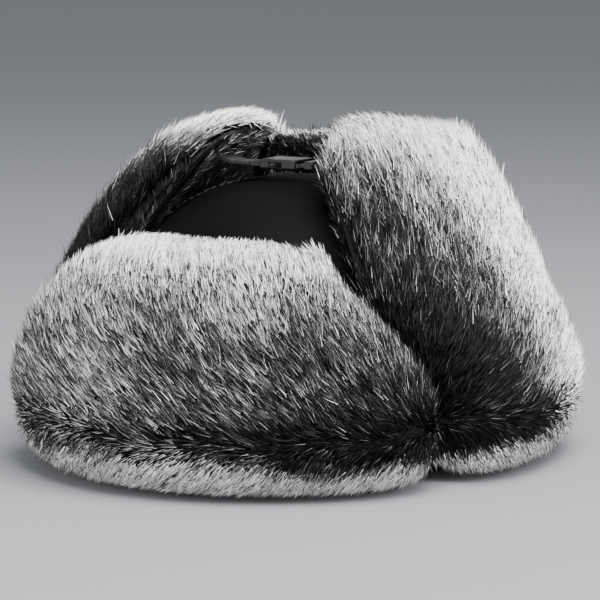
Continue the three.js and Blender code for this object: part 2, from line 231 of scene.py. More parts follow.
def cloth_material(name, colour, pitch, roughness=0.85, sheen=0.2, turn=0.0, depth=0.25):
    """Cloth of crossing threads, pitch apart. The depth of the weave is a share of the pitch."""
    s = Shader(name, Sheen_Weight=sheen, Sheen_Roughness=0.5)
    at = s.place(turn)
    scale = 2 * math.pi / (WAVE_RADIANS * pitch)
    warp = s.waves(scale, "X", at)
    weft = s.waves(scale, "Z", at)
    slub = s.noise(60.0, 4.0)
    dark = [c * 0.6 for c in colour]
    s.feed(
        Base_Color=s.mix(warp * weft * 0.7 + slub * 0.4, dark, colour),
        Roughness=slub * 0.2 + (roughness - 0.1),
    )
    return s.bump(warp * weft + slub * 0.3, depth * pitch, 0.8)


def plastic_material(name, colour):
    s = Shader(name, Specular_IOR_Level=0.25)
    texture = s.noise(900.0, 2.0)
    scuffs = s.noise(45.0, 5.0, 0.7)
    s.feed(
        Base_Color=s.mix(scuffs, colour, [c * 1.7 for c in colour]),
        Roughness=scuffs * 0.18 + 0.26,
    )
    return s.bump(texture, 0.02 * MM, 0.5)


def fur_base_material(name, dark, light):
    """The dense underfur between the guard hairs."""
    s = Shader(name, Roughness=0.95, Specular_IOR_Level=0.1)
    tufts = s.noise(260.0, 6.0, 0.7)
    clumps = s.noise(55.0, 3.0)
    s.feed(Base_Color=s.mix(tufts * clumps, dark, light), Roughness=tufts * 0.1 + 0.86)
    return s.bump(tufts * 0.8 + clumps, 1.5 * MM, 0.9)


def hair_material(name, grey, warmth):
    """One shade of guard hair, the same all over so that thin hairs keep it."""
    colour = (grey * (1 + warmth), grey, grey * (1 - warmth), 1)
    s = Shader(name, Base_Color=colour, Specular_IOR_Level=0.1 + 0.25 * min(1.0, grey * 3))
    s.feed(Roughness=s.noise(300.0, 2.0) * 0.2 + 0.45)
    return s.material


HAIR_SHADES = (0.0015, 0.006, 0.035, 0.15, 0.44, 0.95)


def build_materials(look):
    black = tuple(look.leather_colour)
    made = {
        "leather": leather_material("crown_leather", black, look.leather_roughness, 1.1 * MM),
        "band_leather": leather_material("band_leather", black, 0.6, 0.7 * MM),
        "lining": cloth_material("quilted_satin", (0.016, 0.016, 0.019), 0.35 * MM, 0.42, 0.15, 0.3),
        "wadding": cloth_material("wadding_felt", (0.62, 0.60, 0.56), 0.9 * MM, 0.95, 0.3, 0.0, 0.7),
        "interlining": cloth_material("interlining_canvas", (0.012, 0.012, 0.013), 0.8 * MM, 0.92, 0.02),
        "webbing": cloth_material("strap_webbing", (0.007, 0.007, 0.0075), 0.9 * MM, 0.75, 0.03),
        "plastic": plastic_material("buckle_plastic", (0.0035, 0.0035, 0.004)),
        "thread": cloth_material("sewing_thread", (0.008, 0.008, 0.008), 0.3 * MM, 0.6, 0.03, 0.0, 0.6),
        "fur": fur_base_material("underfur", (0.006, 0.006, 0.006), (0.05, 0.048, 0.046)),
    }
    for i, grey in enumerate(HAIR_SHADES):
        made[f"hair_{i}"] = hair_material(f"guard_hair_{i}", grey, 0.012 + 0.02 * (i > 2))
    return made


MATERIALS = {}

# ---- building blocks ----
WELD_GAP = 0.02 * MM
# A stitch dips into the surface at its ends and is thickest at its middle. Both are shares of its radius.
STITCH_RISE = np.array([-0.9, 0.35, 0.6, 0.35, -0.9])
STITCH_SWELL = np.array([0.35, 0.9, 1.0, 0.9, 0.35])


def deselect():
    bpy.ops.object.select_all(action="DESELECT")


def activate(obj):
    deselect()
    obj.select_set(True)
    bpy.context.view_layer.objects.active = obj


def add_object(name, mesh):
    obj = bpy.data.objects.new(name, mesh)
    bpy.context.scene.collection.objects.link(obj)
    return obj


def paint_over(obj, slot):
    obj.data.materials.clear()
    obj.data.materials.append(MATERIALS[slot])


def finish_piece(obj, body, slot, *nodes):
    """Gives a piece its material and its body, and hides the CAD nodes that it stands for."""
    paint_over(obj, slot)
    if nodes:
        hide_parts(*nodes)
    if body:
        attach(obj, body)
    return obj


def apply_modifier(obj, kind, **settings):
    activate(obj)
    bpy.ops.object.modifier_add(type=kind)
    modifier = obj.modifiers[-1]
    for key, value in settings.items():
        setattr(modifier, key, value)
    bpy.ops.object.modifier_apply(modifier=modifier.name)


def welded_copy(node, name):
    """A copy of a CAD node with its triangles joined into quads."""
    obj = add_object(name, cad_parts[node].data.copy())
    activate(obj)
    bpy.ops.object.mode_set(mode="EDIT")
    bpy.ops.mesh.select_all(action="SELECT")
    bpy.ops.mesh.remove_doubles(threshold=WELD_GAP)
    bpy.ops.mesh.tris_convert_to_quads(face_threshold=math.radians(40), shape_threshold=math.radians(60))
    bpy.ops.mesh.select_all(action="DESELECT")
    bpy.ops.object.mode_set(mode="OBJECT")
    return obj


def refined(node, name, levels=2, sharp=50.0):
    """A smooth copy of a CAD node. Edges sharper than an angle, in degrees, stay nearly sharp."""
    obj = welded_copy(node, name)
    if sharp:
        activate(obj)
        bpy.ops.object.mode_set(mode="EDIT")
        bpy.ops.mesh.select_mode(type="EDGE")
        bpy.ops.mesh.edges_select_sharp(sharpness=math.radians(sharp))
        bpy.ops.transform.edge_crease(value=0.85)
        bpy.ops.mesh.select_all(action="DESELECT")
        bpy.ops.object.mode_set(mode="OBJECT")
    apply_modifier(obj, "SUBSURF", levels=levels, render_levels=levels)
    bpy.ops.object.shade_smooth()
    return obj


def coordinates(mesh):
    co = np.empty(len(mesh.vertices) * 3)
    mesh.vertices.foreach_get("co", co)
    return co.reshape(-1, 3)


def set_coordinates(mesh, co):
    mesh.vertices.foreach_set("co", np.ascontiguousarray(co, dtype=np.float32).ravel())
    mesh.update()


def vertex_normals(mesh):
    normals = np.empty(len(mesh.vertices) * 3)
    mesh.vertices.foreach_get("normal", normals)
    return normals.reshape(-1, 3)


def mesh_from_arrays(name, co, quads):
    """A mesh of equal faces, from an array of points and an array of corners."""
    mesh = bpy.data.meshes.new(name)
    faces, sides = quads.shape
    mesh.vertices.add(len(co))
    mesh.loops.add(faces * sides)
    mesh.polygons.add(faces)
    mesh.vertices.foreach_set("co", np.ascontiguousarray(co, dtype=np.float32).ravel())
    mesh.loops.foreach_set("vertex_index", np.ascontiguousarray(quads, dtype=np.int32).ravel())
    mesh.polygons.foreach_set("loop_start", np.arange(0, faces * sides, sides, dtype=np.int32))
    mesh.polygons.foreach_set("use_smooth", np.ones(faces, dtype=bool))
    mesh.update(calc_edges=True)
    return mesh


def noise_field(points, scale, seed=0.0):
    """Smooth vector noise, about -1 to 1, whose features are 1/scale metres across."""
    offset = Vector((seed, -seed, 2 * seed))
    return np.array([noise.noise_vector(Vector(p) * scale + offset) for p in points])


def stitch_row(name, path, normals, body, length=3.2 * MM, gap=1.1 * MM, radius=0.34 * MM):
    """A row of thread stitches that lie on a surface along a path."""
    path = np.array([tuple(p) for p in path])
    normals = unit(np.array([tuple(n) for n in normals]))
    steps = np.r_[0, np.cumsum(np.linalg.norm(np.diff(path, axis=0), axis=1))]
    count = int(steps[-1] / (length + gap))
    sides, rings = 6, len(STITCH_RISE)
    turn = np.linspace(0, 2 * math.pi, sides, endpoint=False)[:, None]
    points, faces = [], []
    for i in range(count):
        at = (i + 0.5) * steps[-1] / count + np.linspace(-0.5, 0.5, rings) * length
        middle = np.column_stack([np.interp(at, steps, path[:, k]) for k in range(3)])
        up = unit(np.column_stack([np.interp(at, steps, normals[:, k]) for k in range(3)]))
        across = unit(np.cross(unit(middle[-1:] - middle[:1]), up))
        rise, swell = STITCH_RISE[:, None] * radius, STITCH_SWELL[:, None] * radius
        base = len(points) * sides
        for ring in range(rings):
            centre = middle[ring] + up[ring] * rise[ring]
            points.append(centre + swell[ring] * (np.cos(turn) * across[ring] + np.sin(turn) * up[ring]))
        for ring in range(rings - 1):
            for k in range(sides):
                a, b = base + ring * sides + k, base + ring * sides + (k + 1) % sides
                faces.append((a, b, b + sides, a + sides))
        faces += [(base, base + 5, base + 4, base + 3), (base, base + 3, base + 2, base + 1)]
        top = base + (rings - 1) * sides
        faces += [(top, top + 1, top + 2, top + 3), (top, top + 3, top + 4, top + 5)]
    mesh = mesh_from_arrays(name, np.concatenate(points), np.array(faces))
    return finish_piece(add_object(name, mesh), body, "thread")


# ---- crown and lining ----
DOME_START = 40 * MM
SEAM_TO_STITCHES = 3.2 * MM


def crown_profile(steps=28):
    """(share, z) pairs up the crown's side and over its dome, read off the middle of its front wedge."""
    co = coordinates(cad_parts["crown_wedge_front"].data)
    middle = co[np.abs(co[:, 0]) < 1 * MM]
    outer = {}
    for _, y, z in middle:
        outer[round(z, 5)] = max(outer.get(round(z, 5), 0), -y)
    heights = np.array(sorted(outer))
    reach = np.array([outer[z] for z in heights])
    keep = reach >= np.maximum.accumulate(reach[::-1])[::-1] - 0.05 * MM
    z, share = heights[keep], reach[keep] / CROWN_Y
    along = np.r_[0, np.cumsum(np.hypot(np.diff(z), np.diff(share * CROWN_Y)))]
    at = np.linspace(0, along[-1], steps)
    return list(zip(np.interp(at, along, share), np.interp(at, along, z)))


def puff(obj, height, from_angle, to_angle):
    """Swells a crown panel between its seams, the hem and the top, and adds a few soft creases."""
    co, normals = coordinates(obj.data), vertex_normals(obj.data)
    angle = np.mod(hat_angle(co) - from_angle, 360)
    across = np.clip(angle / (to_angle - from_angle), 0, 1)
    swell = np.sin(math.pi * across) ** 0.5 * smoothstep(co[:, 2], 6 * MM, DOME_START)
    swell *= 1 - smoothstep(co[:, 2], CROWN_TOP - 14 * MM, CROWN_TOP)
    creases = noise_field(co, 26.0, 3.0)[:, 0] * 0.5
    set_coordinates(obj.data, co + normals * ((swell * (1 + creases)) * height)[:, None])


def above_crown(angle, share, z, lift):
    """A point lifted off the crown's outer face, and the direction in which it is lifted."""
    point = on_crown(angle, 0, share, z)
    rise = max(z - DOME_START, 0) / CROWN_TOP**2
    normal = Vector((point.x / CROWN_X**2, point.y / CROWN_Y**2, rise))
    normal.normalize()
    return point + normal * lift, normal


class HAT_OT_crown(bpy.types.Operator):
    """Make the crown's four leather panels, their seams and their topstitching"""

    bl_idname = "hat.crown"
    bl_label = "Crown"

    def execute(self, context):
        spans = zip((SEAMS[-1] - 360, *SEAMS), SEAMS)
        for node, (start, end) in zip(WEDGES, spans):
            panel = refined(node, node.replace("wedge", "panel"), 3)
            puff(panel, 1.1 * MM, start, end)
            finish_piece(panel, "hat", "leather", node)
        rows = [(share, z) for share, z in crown_profile() if z > 12 * MM and share > 0.12]
        for seam in SEAMS:
            for side, side_name in ((-1, "before"), (1, "after")):
                path, normals = [], []
                for share, z in rows:
                    shift = side * math.degrees(SEAM_TO_STITCHES / (share * MEAN_RADIUS))
                    point, normal = above_crown(seam + shift, share, z, 0.45 * MM)
                    path.append(point)
                    normals.append(normal)
                stitch_row(f"crown_topstitch_{seam}_{side_name}", path, normals, "hat")
        return {"FINISHED"}


class HAT_OT_lining(bpy.types.Operator):
    """Make the quilted lining, the wadding, the sweatband and the lower edge binding"""

    bl_idname = "hat.lining"
    bl_label = "Lining and band"

    def execute(self, context):
        lining = refined("crown_lining", "quilted_lining", 3)
        co, normals = coordinates(lining.data), vertex_normals(lining.data)
        inward = np.sum(normals * unit(co - [0, 0, 30 * MM]), axis=1) < 0
        round_hat = np.radians(hat_angle(co)) * 12
        rise = np.arctan2(co[:, 2] - 20 * MM, np.hypot(co[:, 0], co[:, 1])) * 9
        diamonds = np.abs(np.sin(round_hat + rise)) * np.abs(np.sin(round_hat - rise))
        depth = np.where(inward, (diamonds**0.5 - 1) * 0.9 * MM, 0)
        set_coordinates(lining.data, co + normals * depth[:, None])
        finish_piece(lining, "hat", "lining", "crown_lining")
        for node in ("sweatband", "edge_binding"):
            finish_piece(refined(node, f"leather_{node}", 3), "hat", "band_leather", node)
        _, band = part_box("sweatband")
        inset = CROWN_X - band[0] + 1.75 * MM
        path = [on_crown(angle, inset, 1, band[2] - 3 * MM) for angle in range(0, 364, 4)]
        normals = [Vector((-p.x, -p.y, 0)) for p in path]
        stitch_row("sweatband_topstitch", path, normals, "hat", 2.6 * MM)
        paint_over(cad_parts["crown_wadding"], "wadding")
        return {"FINISHED"}


# ---- flaps ----
class HAT_OT_flap_leather(bpy.types.Operator):
    """Make the flaps' leather backs, their canvas interlinings and the strips that carry them"""

    bl_idname = "hat.flap_leather"
    bl_label = "Flap leather"

    def execute(self, context):
        for flap, body in FLAPS.items():
            shell = refined(f"{flap}_shell", f"{flap}_leather", 2)
            finish_piece(shell, body, "leather", f"{flap}_shell")
            canvas = refined(f"{flap}_interlining", f"{flap}_canvas", 1)
            finish_piece(canvas, body, "interlining", f"{flap}_interlining")
        for side in ("front", "neck", "left", "right"):
            strip = refined(f"{side}_fold_strip", f"{side}_leather_strip", 2)
            finish_piece(strip, "hat", "band_leather", f"{side}_fold_strip")
        for side in ("left", "right"):
            node = f"front_flap_tack_{side}"
            tack = refined(node, f"front_flap_thread_{side}", 2, 0)
            finish_piece(tack, "hat", "thread", node)
        return {"FINISHED"}


class HAT_OT_fold_webs(bpy.types.Operator):
    """Make the thin leather band that joins each turning flap to the crown's edge"""

    bl_idname = "hat.fold_webs"
    bl_label = "Fold webs"

    def execute(self, context):
        for flap, body in list(FLAPS.items())[1:]:
            self.web(flap, body)
        return {"FINISHED"}

    def web(self, flap, body):
        shell = coordinates(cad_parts[f"{flap}_shell"].data)
        angles = hat_angle(shell[shell[:, 2] < 16 * MM])
        if flap == "neck_flap":
            angles = np.mod(angles, 360)
        start, end = angles.min() + 1.0, angles.max() - 1.0
        inset, thickness = -2.3 * MM, 0.45 * MM
        bottom, top, rows = 4 * MM, 27 * MM, 34
        columns = int((end - start) / 1.5)
        points = []
        for depth in (inset, inset - thickness):
            for z in np.linspace(bottom, top, rows):
                points += [on_crown(a, depth, 1, z) for a in np.linspace(start, end, columns)]
        layer = rows * columns
        faces = []
        for r in range(rows - 1):
            for c in range(columns - 1):
                a = r * columns + c
                faces.append((a, a + columns, a + columns + 1, a + 1))
                faces.append((layer + a, layer + a + 1, layer + a + columns + 1, layer + a + columns))
        sides = [(r * columns + c, columns) for r in range(rows - 1) for c in (0, columns - 1)]
        ends = [(r * columns + c, 1) for c in range(columns - 1) for r in (0, rows - 1)]
        faces += [(a, layer + a, layer + a + step, a + step) for a, step in sides + ends]
        mesh = mesh_from_arrays(f"{flap}_fold_web", np.array([tuple(p) for p in points]), np.array(faces))
        web = add_object(f"{flap}_fold_web", mesh)
        activate(web)
        bpy.ops.object.mode_set(mode="EDIT")
        bpy.ops.mesh.select_all(action="SELECT")
        bpy.ops.mesh.normals_make_consistent(inside=False)
        bpy.ops.object.mode_set(mode="OBJECT")
        finish_piece(web, None, "leather")
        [on_crown((start + end) / 2, inset, 1, z) for z in (9 * MM, 25 * MM)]
        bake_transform(web)


# ---- fur ----
LOWEST = CAD_BOX[0].z - 5 * MM
HIGHEST = CAD_BOX[1].z + 13 * MM
HAIRS_PER_PIECE = 32000
LAST_SHADE = len(HAIR_SHADES) - 1
# Possible roots for each hair, over the whole fur pad and the whole shell. Those out of place are left out.
ROOTS_ON_FUR, ROOTS_ON_SHELL = 2.1, 1.1
UNDERFUR_SINK = 1.2 * MM
ROOT_DEPTH = 1.4 * MM
# Below this height the fur rolls under the fold.
FOLD_TOP = 20 * MM
# The parting runs round the hat at about this height, and wanders up and down by up to this much.
PARTING_HEIGHT, PARTING_WANDER = 23 * MM, 6 * MM
# The shade that the pale fringe below the parting tends to: its own pale tips, pushed brighter as painted
# light where the overhang leaves it in shade.
FRINGE_SHADE = 4.9
# Coarse, fine and very fine noise, in features per metre.
CLUMP_SCALE, LOCK_SCALE, TUFT_SCALE = 26.0, 110.0, 300.0

# Where the hair parts on each flap, from which it is combed away: degrees round the hat, and height.
PARTINGS = {
    "front_flap": (66, 22 * MM),
    "neck_flap": (180, 20 * MM),
    "left_ear_flap": (64, 26 * MM),
    "right_ear_flap": (-64, 26 * MM),
}
# Where the fur wraps round on to a flap's leather: above a height, and up to an angle round the hat.
WRAPS = {
    "neck_flap": (104 * MM, 190),
    "left_ear_flap": (52 * MM, 124),
    "right_ear_flap": (52 * MM, 124),
}
# (mm, shade) pairs: first by the distance from the parting's middle, then by the height, which add up. The
# rise with height is partly the pale tips that show where the hairs lie up and partly painted light from
# above.
SPREAD_SHADES = ((0, 0.0), (25, 0.4), (50, 1.2), (85, 1.8), (130, 2.2), (190, 2.5))
FRONT_RISE = ((0, 0.0), (40, 0.0), (62, 0.15), (82, 0.7), (96, 1.7), (108, 2.6))
NECK_RISE = ((0, 0.0), (45, 0.1), (80, 0.5), (110, 1.1), (132, 2.2), (150, 2.7))
EAR_RISE = ((0, 0.0), (70, 0.1), (110, 0.6), (140, 1.5), (158, 2.3))


def read_off(values, pairs):
    """The second number of (mm, number) pairs at lengths in metres."""
    at, out = zip(*pairs)
    return np.interp(values, np.array(at) * MM, out)


class Pelt:
    """Points spread over a mesh, with the directions in which its hair grows."""

    def __init__(self, meshes_and_counts, rng):
        points, normals = [], []
        for mesh, count in meshes_and_counts:
            mesh.calc_loop_triangles()
            corners = np.empty(len(mesh.loop_triangles) * 3, dtype=np.int64)
            mesh.loop_triangles.foreach_get("vertices", corners)
            corners = coordinates(mesh)[corners.reshape(-1, 3)]
            square = np.cross(corners[:, 1] - corners[:, 0], corners[:, 2] - corners[:, 0])
            areas = np.linalg.norm(square, axis=1)
            picked = rng.choice(len(areas), size=count, p=areas / areas.sum())
            u, v = rng.random((2, count))
            flip = u + v > 1
            u[flip], v[flip] = 1 - u[flip], 1 - v[flip]
            a, b, c = corners[picked].transpose(1, 0, 2)
            points.append(a + (b - a) * u[:, None] + (c - a) * v[:, None])
            normals.append(unit(square[picked]))
        self.points, self.normals = np.concatenate(points), np.concatenate(normals)

    def keep(self, mask):
        self.points, self.normals = self.points[mask], self.normals[mask]


def hair_mesh(name, roots, first, second, length, width, shades, rng):
    """Hairs as slim closed spindles with a knee. first and second are the directions of their two
    halves, and shades the material numbers of those halves."""
    count = len(roots)
    share = 0.5 + 0.14 * rng.random(count)
    knee = roots + first * (length * share)[:, None]
    tips = knee + second * (length * (1 - share))[:, None]
    stray = rng.random(count) * 3 * MM
    tips[:, 2] = np.clip(tips[:, 2], LOWEST + stray, HIGHEST - stray)
    knee[:, 2] = np.maximum(knee[:, 2], LOWEST + 3 * MM)
    # Two directions square to the hair, which the bit of chance keeps apart where it is straight.
    a = unit(np.cross(first, second) + 1e-4 * rng.standard_normal((count, 3)))
    b = unit(np.cross(first, a))
    turn = rng.random(count) * 2 * math.pi
    ring = []
    for k in range(3):
        angle = (turn + k * 2 * math.pi / 3)[:, None]
        ring.append(knee + (np.cos(angle) * a + np.sin(angle) * b) * (width / 2)[:, None])
    corners = np.stack([roots, *ring, tips], axis=1)
    spindle = np.array([(0, 2, 1), (0, 3, 2), (0, 1, 3), (4, 1, 2), (4, 2, 3), (4, 3, 1)])
    faces = spindle[None] + (np.arange(count) * corners.shape[1])[:, None, None]
    from_root = corners - corners[:, :1]
    turned_in = np.sum(np.cross(from_root[:, 2], from_root[:, 1]) * from_root[:, 3], axis=1) > 0
    faces[turned_in] = faces[turned_in][:, :, ::-1]
    mesh = mesh_from_arrays(name, corners.reshape(-1, 3), faces.reshape(-1, 3))
    for i in range(len(HAIR_SHADES)):
        mesh.materials.append(MATERIALS[f"hair_{i}"])
    shade_of_face = np.repeat(shades, 3, axis=1).ravel()
    mesh.polygons.foreach_set("material_index", shade_of_face.astype(np.int32))
    return mesh


class HAT_OT_fur(bpy.types.Operator):
    """Make one flap's underfur and its guard hairs"""

    bl_idname = "hat.fur"
    bl_label = "Fur of a flap"

    flap: bpy.props.StringProperty(name="Flap", description="Which flap to cover", default="front_flap")
    hairs: bpy.props.IntProperty(name="Hairs", description="Guard hairs on the flap", default=80000, min=100)
    seed: bpy.props.IntProperty(name="Seed", description="Start of the random draws", default=1)

    def execute(self, context):
        look = context.scene.hat_look
        rng = np.random.default_rng(self.seed)
        body = FLAPS[self.flap]
        core = refined(f"{self.flap}_fur", f"{self.flap}_underfur", 2, 0)
        sources = [(core.data, int(self.hairs * ROOTS_ON_FUR))]
        if self.flap in WRAPS:
            sources.append((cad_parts[f"{self.flap}_shell"].data, int(self.hairs * ROOTS_ON_SHELL)))
        pelt = Pelt(sources, rng)
        self.on_shell = np.arange(len(pelt.points)) >= sources[0][1]
        self.roughen(core)
        finish_piece(core, body, "fur", f"{self.flap}_fur")
        self.choose(pelt, rng)
        self.comb(pelt, look, rng)
        total = len(pelt.points)
        pieces = math.ceil(total / HAIRS_PER_PIECE)
        order = rng.permutation(total)
        for i in range(pieces):
            part = order[i::pieces]
            name = f"{self.flap}_guard_hair_{i + 1}"
            mesh = hair_mesh(
                name, pelt.points[part], self.first[part], self.second[part],
                self.length[part], self.width[part], self.shades[part], rng,
            )
            hair = add_object(name, mesh)
            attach(hair, body)
        return {"FINISHED"}

    def roughen(self, core):
        """Sinks the underfur below the hair tips and breaks it into tufts."""
        co, normals = coordinates(core.data), vertex_normals(core.data)
        tufts = noise_field(co, 70.0, self.seed)[:, 0]
        set_coordinates(core.data, co + normals * ((tufts - 1) * UNDERFUR_SINK)[:, None])

    def choose(self, pelt, rng):
        """Leaves out the side that lies against the leather, but keeps the band of fur that wraps round
        a flap's edge on to its leather."""
        out, _ = plan_directions(pelt.points)
        facing = np.sum(pelt.normals * out, axis=1)
        z = pelt.points[:, 2]
        against = (facing < -0.02) & (pelt.normals[:, 2] < 0.75) & (z > FOLD_TOP)
        against |= (facing < -0.5) & (z <= FOLD_TOP)
        angle = np.abs(hat_angle(pelt.points))
        ragged = noise_field(pelt.points, 60.0, self.seed + 3)[:, 0] * 5
        lowest, reach = WRAPS.get(self.flap, (0, 0))
        wrap = (facing < 0.3) & (z + ragged * MM > lowest) & (angle + ragged < reach)
        wanted = np.where(self.on_shell, wrap, ~against)
        draw = rng.permutation(len(wanted))
        chosen = draw[wanted[draw]][: self.hairs]
        chosen.sort()
        self.on_shell = self.on_shell[chosen]
        pelt.keep(chosen)

    def comb(self, pelt, look, rng):
        """Works out every hair's two directions, length, width and shades."""
        points, normals = pelt.points, pelt.normals
        count = len(points)
        z = points[:, 2]
        out, along = plan_directions(points)
        up = np.tile([0.0, 0.0, 1.0], (count, 1))
        coarse = noise_field(points, CLUMP_SCALE, self.seed)
        fine = noise_field(points, LOCK_SCALE, self.seed + 7)
        tuft = noise_field(points, TUFT_SCALE, self.seed + 11)[:, 0]
        angle = hat_angle(points)
        middle, height = PARTINGS[self.flap]
        if self.flap == "neck_flap":
            angle = np.mod(angle, 360)
        aside = np.radians(angle - middle) * (CROWN_X + CROWN_Y) * 0.6
        spread = np.hypot(aside, (z - height) * 1.15)

        parting = PARTING_HEIGHT + coarse[:, 0] * PARTING_WANDER
        above = smoothstep(z, parting - 4 * MM, parting + 5 * MM)[:, None]
        fan = np.clip(aside / np.maximum(spread, 1 * MM), -1, 1)
        lean = 0.95 * fan * (0.45 + 0.55 * (1 - smoothstep(z, 30 * MM, 100 * MM)))
        rim = smoothstep(normals[:, 2], 0.35, 0.95)[:, None]
        rising = up + along * lean[:, None] - out * 1.1 * rim
        falling = -up * 0.8 + out * 0.1 + along * (fan * 0.6)[:, None]
        lay = falling + (rising - falling) * above
        lay += coarse * 0.3 + fine * 0.42 + rng.standard_normal((count, 3)) * 0.17
        flat = lay - normals * np.sum(lay * normals, axis=1, keepdims=True)
        flat /= np.maximum(np.linalg.norm(flat, axis=1, keepdims=True), 0.5)
        under = 1 - above[:, 0]
        stand = 0.55 + 0.15 * rng.standard_normal(count).clip(-1.5, 1.5) + 0.15 * under
        self.first = unit(normals * stand[:, None] + flat * 0.8 + (out * 0.1 - up * 0.1) * under[:, None])
        self.second = unit(
            normals * (0.14 + 0.15 * rng.standard_normal(count))[:, None]
            + flat * (1 - 0.6 * under)[:, None]
            + (-out * 0.05 - up * 0.4 + along * (fan * 0.35)[:, None]) * under[:, None]
            + rng.standard_normal((count, 3)) * 0.1
        )
        ear = "ear" in self.flap
        ear_growth = 0.2 * smoothstep(z, 80 * MM, 120 * MM) - 0.45 * smoothstep(z, 140 * MM, 164 * MM)
        grow = 1 + (ear_growth if ear else -0.5 * rim[:, 0]) - 0.3 * under
        grow = np.where(self.on_shell, 0.7, grow)
        self.length = look.hair_length * (0.75 + 0.4 * rng.random(count)) * grow
        self.width = look.hair_width * (0.7 + 0.6 * rng.random(count))
        pelt.points = points - normals * ROOT_DEPTH
        self.paint(z, angle, normals, out, spread, rim[:, 0], under, coarse, tuft, rng)

    def paint(self, z, angle, normals, out, spread, rim, under, coarse, tuft, rng):
        """Works out the shade numbers of every hair's root half and tip half, dark round the parting."""
        ear = "ear" in self.flap
        mean = read_off(spread, SPREAD_SHADES)
        if ear:
            # Lighter higher up: partly the pale tips of up-lying hair, partly painted light from above.
            mean += read_off(z, EAR_RISE)
            mean += 3.2 * smoothstep(np.abs(angle), 76, 102)
            # Painted shade: the ears' forward-facing end faces and inner faces are darkened, partly for the
            # dark roots seen end-on there and partly as painted shade, twice as strong on the right ear.
            forward = smoothstep(-normals[:, 1], 0.15, 0.6)
            inward = smoothstep(-np.sum(normals * out, axis=1), 0.0, 0.4) * (1 - rim)
            mean -= np.where(angle < 0, 3.2, 1.6) * np.maximum(forward * (1 - 0.5 * rim), inward)
        else:
            # Lighter higher up: partly the pale tips of up-lying hair, partly painted light from above.
            mean += read_off(z, FRONT_RISE if self.flap == "front_flap" else NECK_RISE)
        seam = np.exp(-(((z - 24 * MM - coarse[:, 0] * 6 * MM) / (6 * MM)) ** 2))
        near, far = (35 * MM, 85 * MM) if ear else (60 * MM, 180 * MM)
        mean = mean * (1 - 0.8 * seam * (1 - smoothstep(spread, near, far)))
        # Painted light as well as pale tips: the fringe under the fold is brightened towards FRINGE_SHADE.
        fringe = under * smoothstep(coarse[:, 2] * 6 * MM - z, -22 * MM, -13 * MM)
        mean = mean + (FRINGE_SHADE - mean) * fringe
        if self.flap == "left_ear_flap":
            # A painted shadow: a thin dark line down a crease in the left ear's fur, drawn in the hair's
            # shades where the hair itself has no crease.
            crease_shadow = np.exp(-(((angle - 100 - coarse[:, 0] * 2) / 1.3) ** 2))
            mean -= 5 * crease_shadow * smoothstep(z, 47 * MM, 52 * MM) * (1 - smoothstep(z, 64 * MM, 70 * MM))
        mean = np.where(self.on_shell, 0.5 + 1.2 * (coarse[:, 2] > 0.15), mean)
        mean = mean + coarse[:, 1] * 0.7 + tuft * 1.5
        count = len(z)
        tip = mean + 0.6 + 0.9 * rng.standard_normal(count)
        plain = rng.random(count) < 0.28 - 0.1 * smoothstep(mean, 3.5, 5.0)
        tip = np.where(plain, 0.6 + 0.6 * rng.standard_normal(count), tip)
        root = 0.3 + 0.3 * np.clip(mean - 3.5, 0, 3) + 0.5 * rng.standard_normal(count)
        root = np.where(~np.bool_(ear) & (rim > 0.5) & ~plain, tip - 0.6, root)
        self.shades = np.column_stack([root, tip]).round().clip(0, LAST_SHADE).astype(int)


# ---- strap and buckle ----
STRAP_PARTS = {
    "left_strap_anchor": "left_ear",
    "right_strap_anchor": "right_ear",
    "left_strap": "left_strap_half",
    "right_strap": "right_strap_half",
}
BUCKLE_PARTS = ("strap_slider", "buckle_socket", "buckle_plug", "buckle_arm_front", "buckle_arm_back")


class HAT_OT_strap(bpy.types.Operator):
    """Make the webbing strap over the crown, with its ribs and its sewn ends"""

    bl_idname = "hat.strap"
    bl_label = "Strap"

    def execute(self, context):
        for node, body in STRAP_PARTS.items():
            strap = welded_copy(node, f"{node}_webbing")
            activate(strap)
            bpy.ops.object.mode_set(mode="EDIT")
            bpy.ops.mesh.select_all(action="SELECT")
            bpy.ops.mesh.subdivide(number_cuts=12)
            bpy.ops.object.mode_set(mode="OBJECT")
            apply_modifier(strap, "SUBSURF", subdivision_type="SIMPLE", levels=1, render_levels=1)
            co, normals = coordinates(strap.data), vertex_normals(strap.data)
            ribs = np.sin(co[:, 1] / (1.5 * MM) * 2 * math.pi)
            set_coordinates(strap.data, co - normals * ((1 - ribs) * 0.06 * MM)[:, None])
            bpy.ops.object.shade_smooth_by_angle(angle=math.radians(50))
            finish_piece(strap, body, "webbing", node)
        for node, body in list(STRAP_PARTS.items())[2:]:
            low, high = (Vector(corner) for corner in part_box(node))
            rim = 2 * MM
            for edge in (low.y + rim, high.y - rim):
                xs = np.linspace(low.x + 0.5 * MM, high.x - 0.5 * MM, 12)
                path = [Vector((x, edge, high.z + 0.1 * MM)) for x in xs]
                label = "front" if edge < (low.y + high.y) / 2 else "back"
                up = [Vector((0, 0, 1))] * len(path)
                stitch_row(f"{node}_stitches_{label}", path, up, body, 1.9 * MM, 0.7 * MM, 0.22 * MM)
        return {"FINISHED"}


class HAT_OT_buckle(bpy.types.Operator):
    """Round the edges of the moulded buckle and slider and give them their plastic"""

    bl_idname = "hat.buckle"
    bl_label = "Buckle"

    def execute(self, context):
        for name in BUCKLE_PARTS:
            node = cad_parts[name]
            paint_over(node, "plastic")
            weld = node.modifiers.new("weld", "WELD")
            weld.merge_threshold = WELD_GAP
            bevel = node.modifiers.new("rounded edges", "BEVEL")
            bevel.width = 0.35 * MM
            bevel.segments = 3
            bevel.limit_method = "ANGLE"
            bevel.angle_limit = math.radians(35)
        return {"FINISHED"}


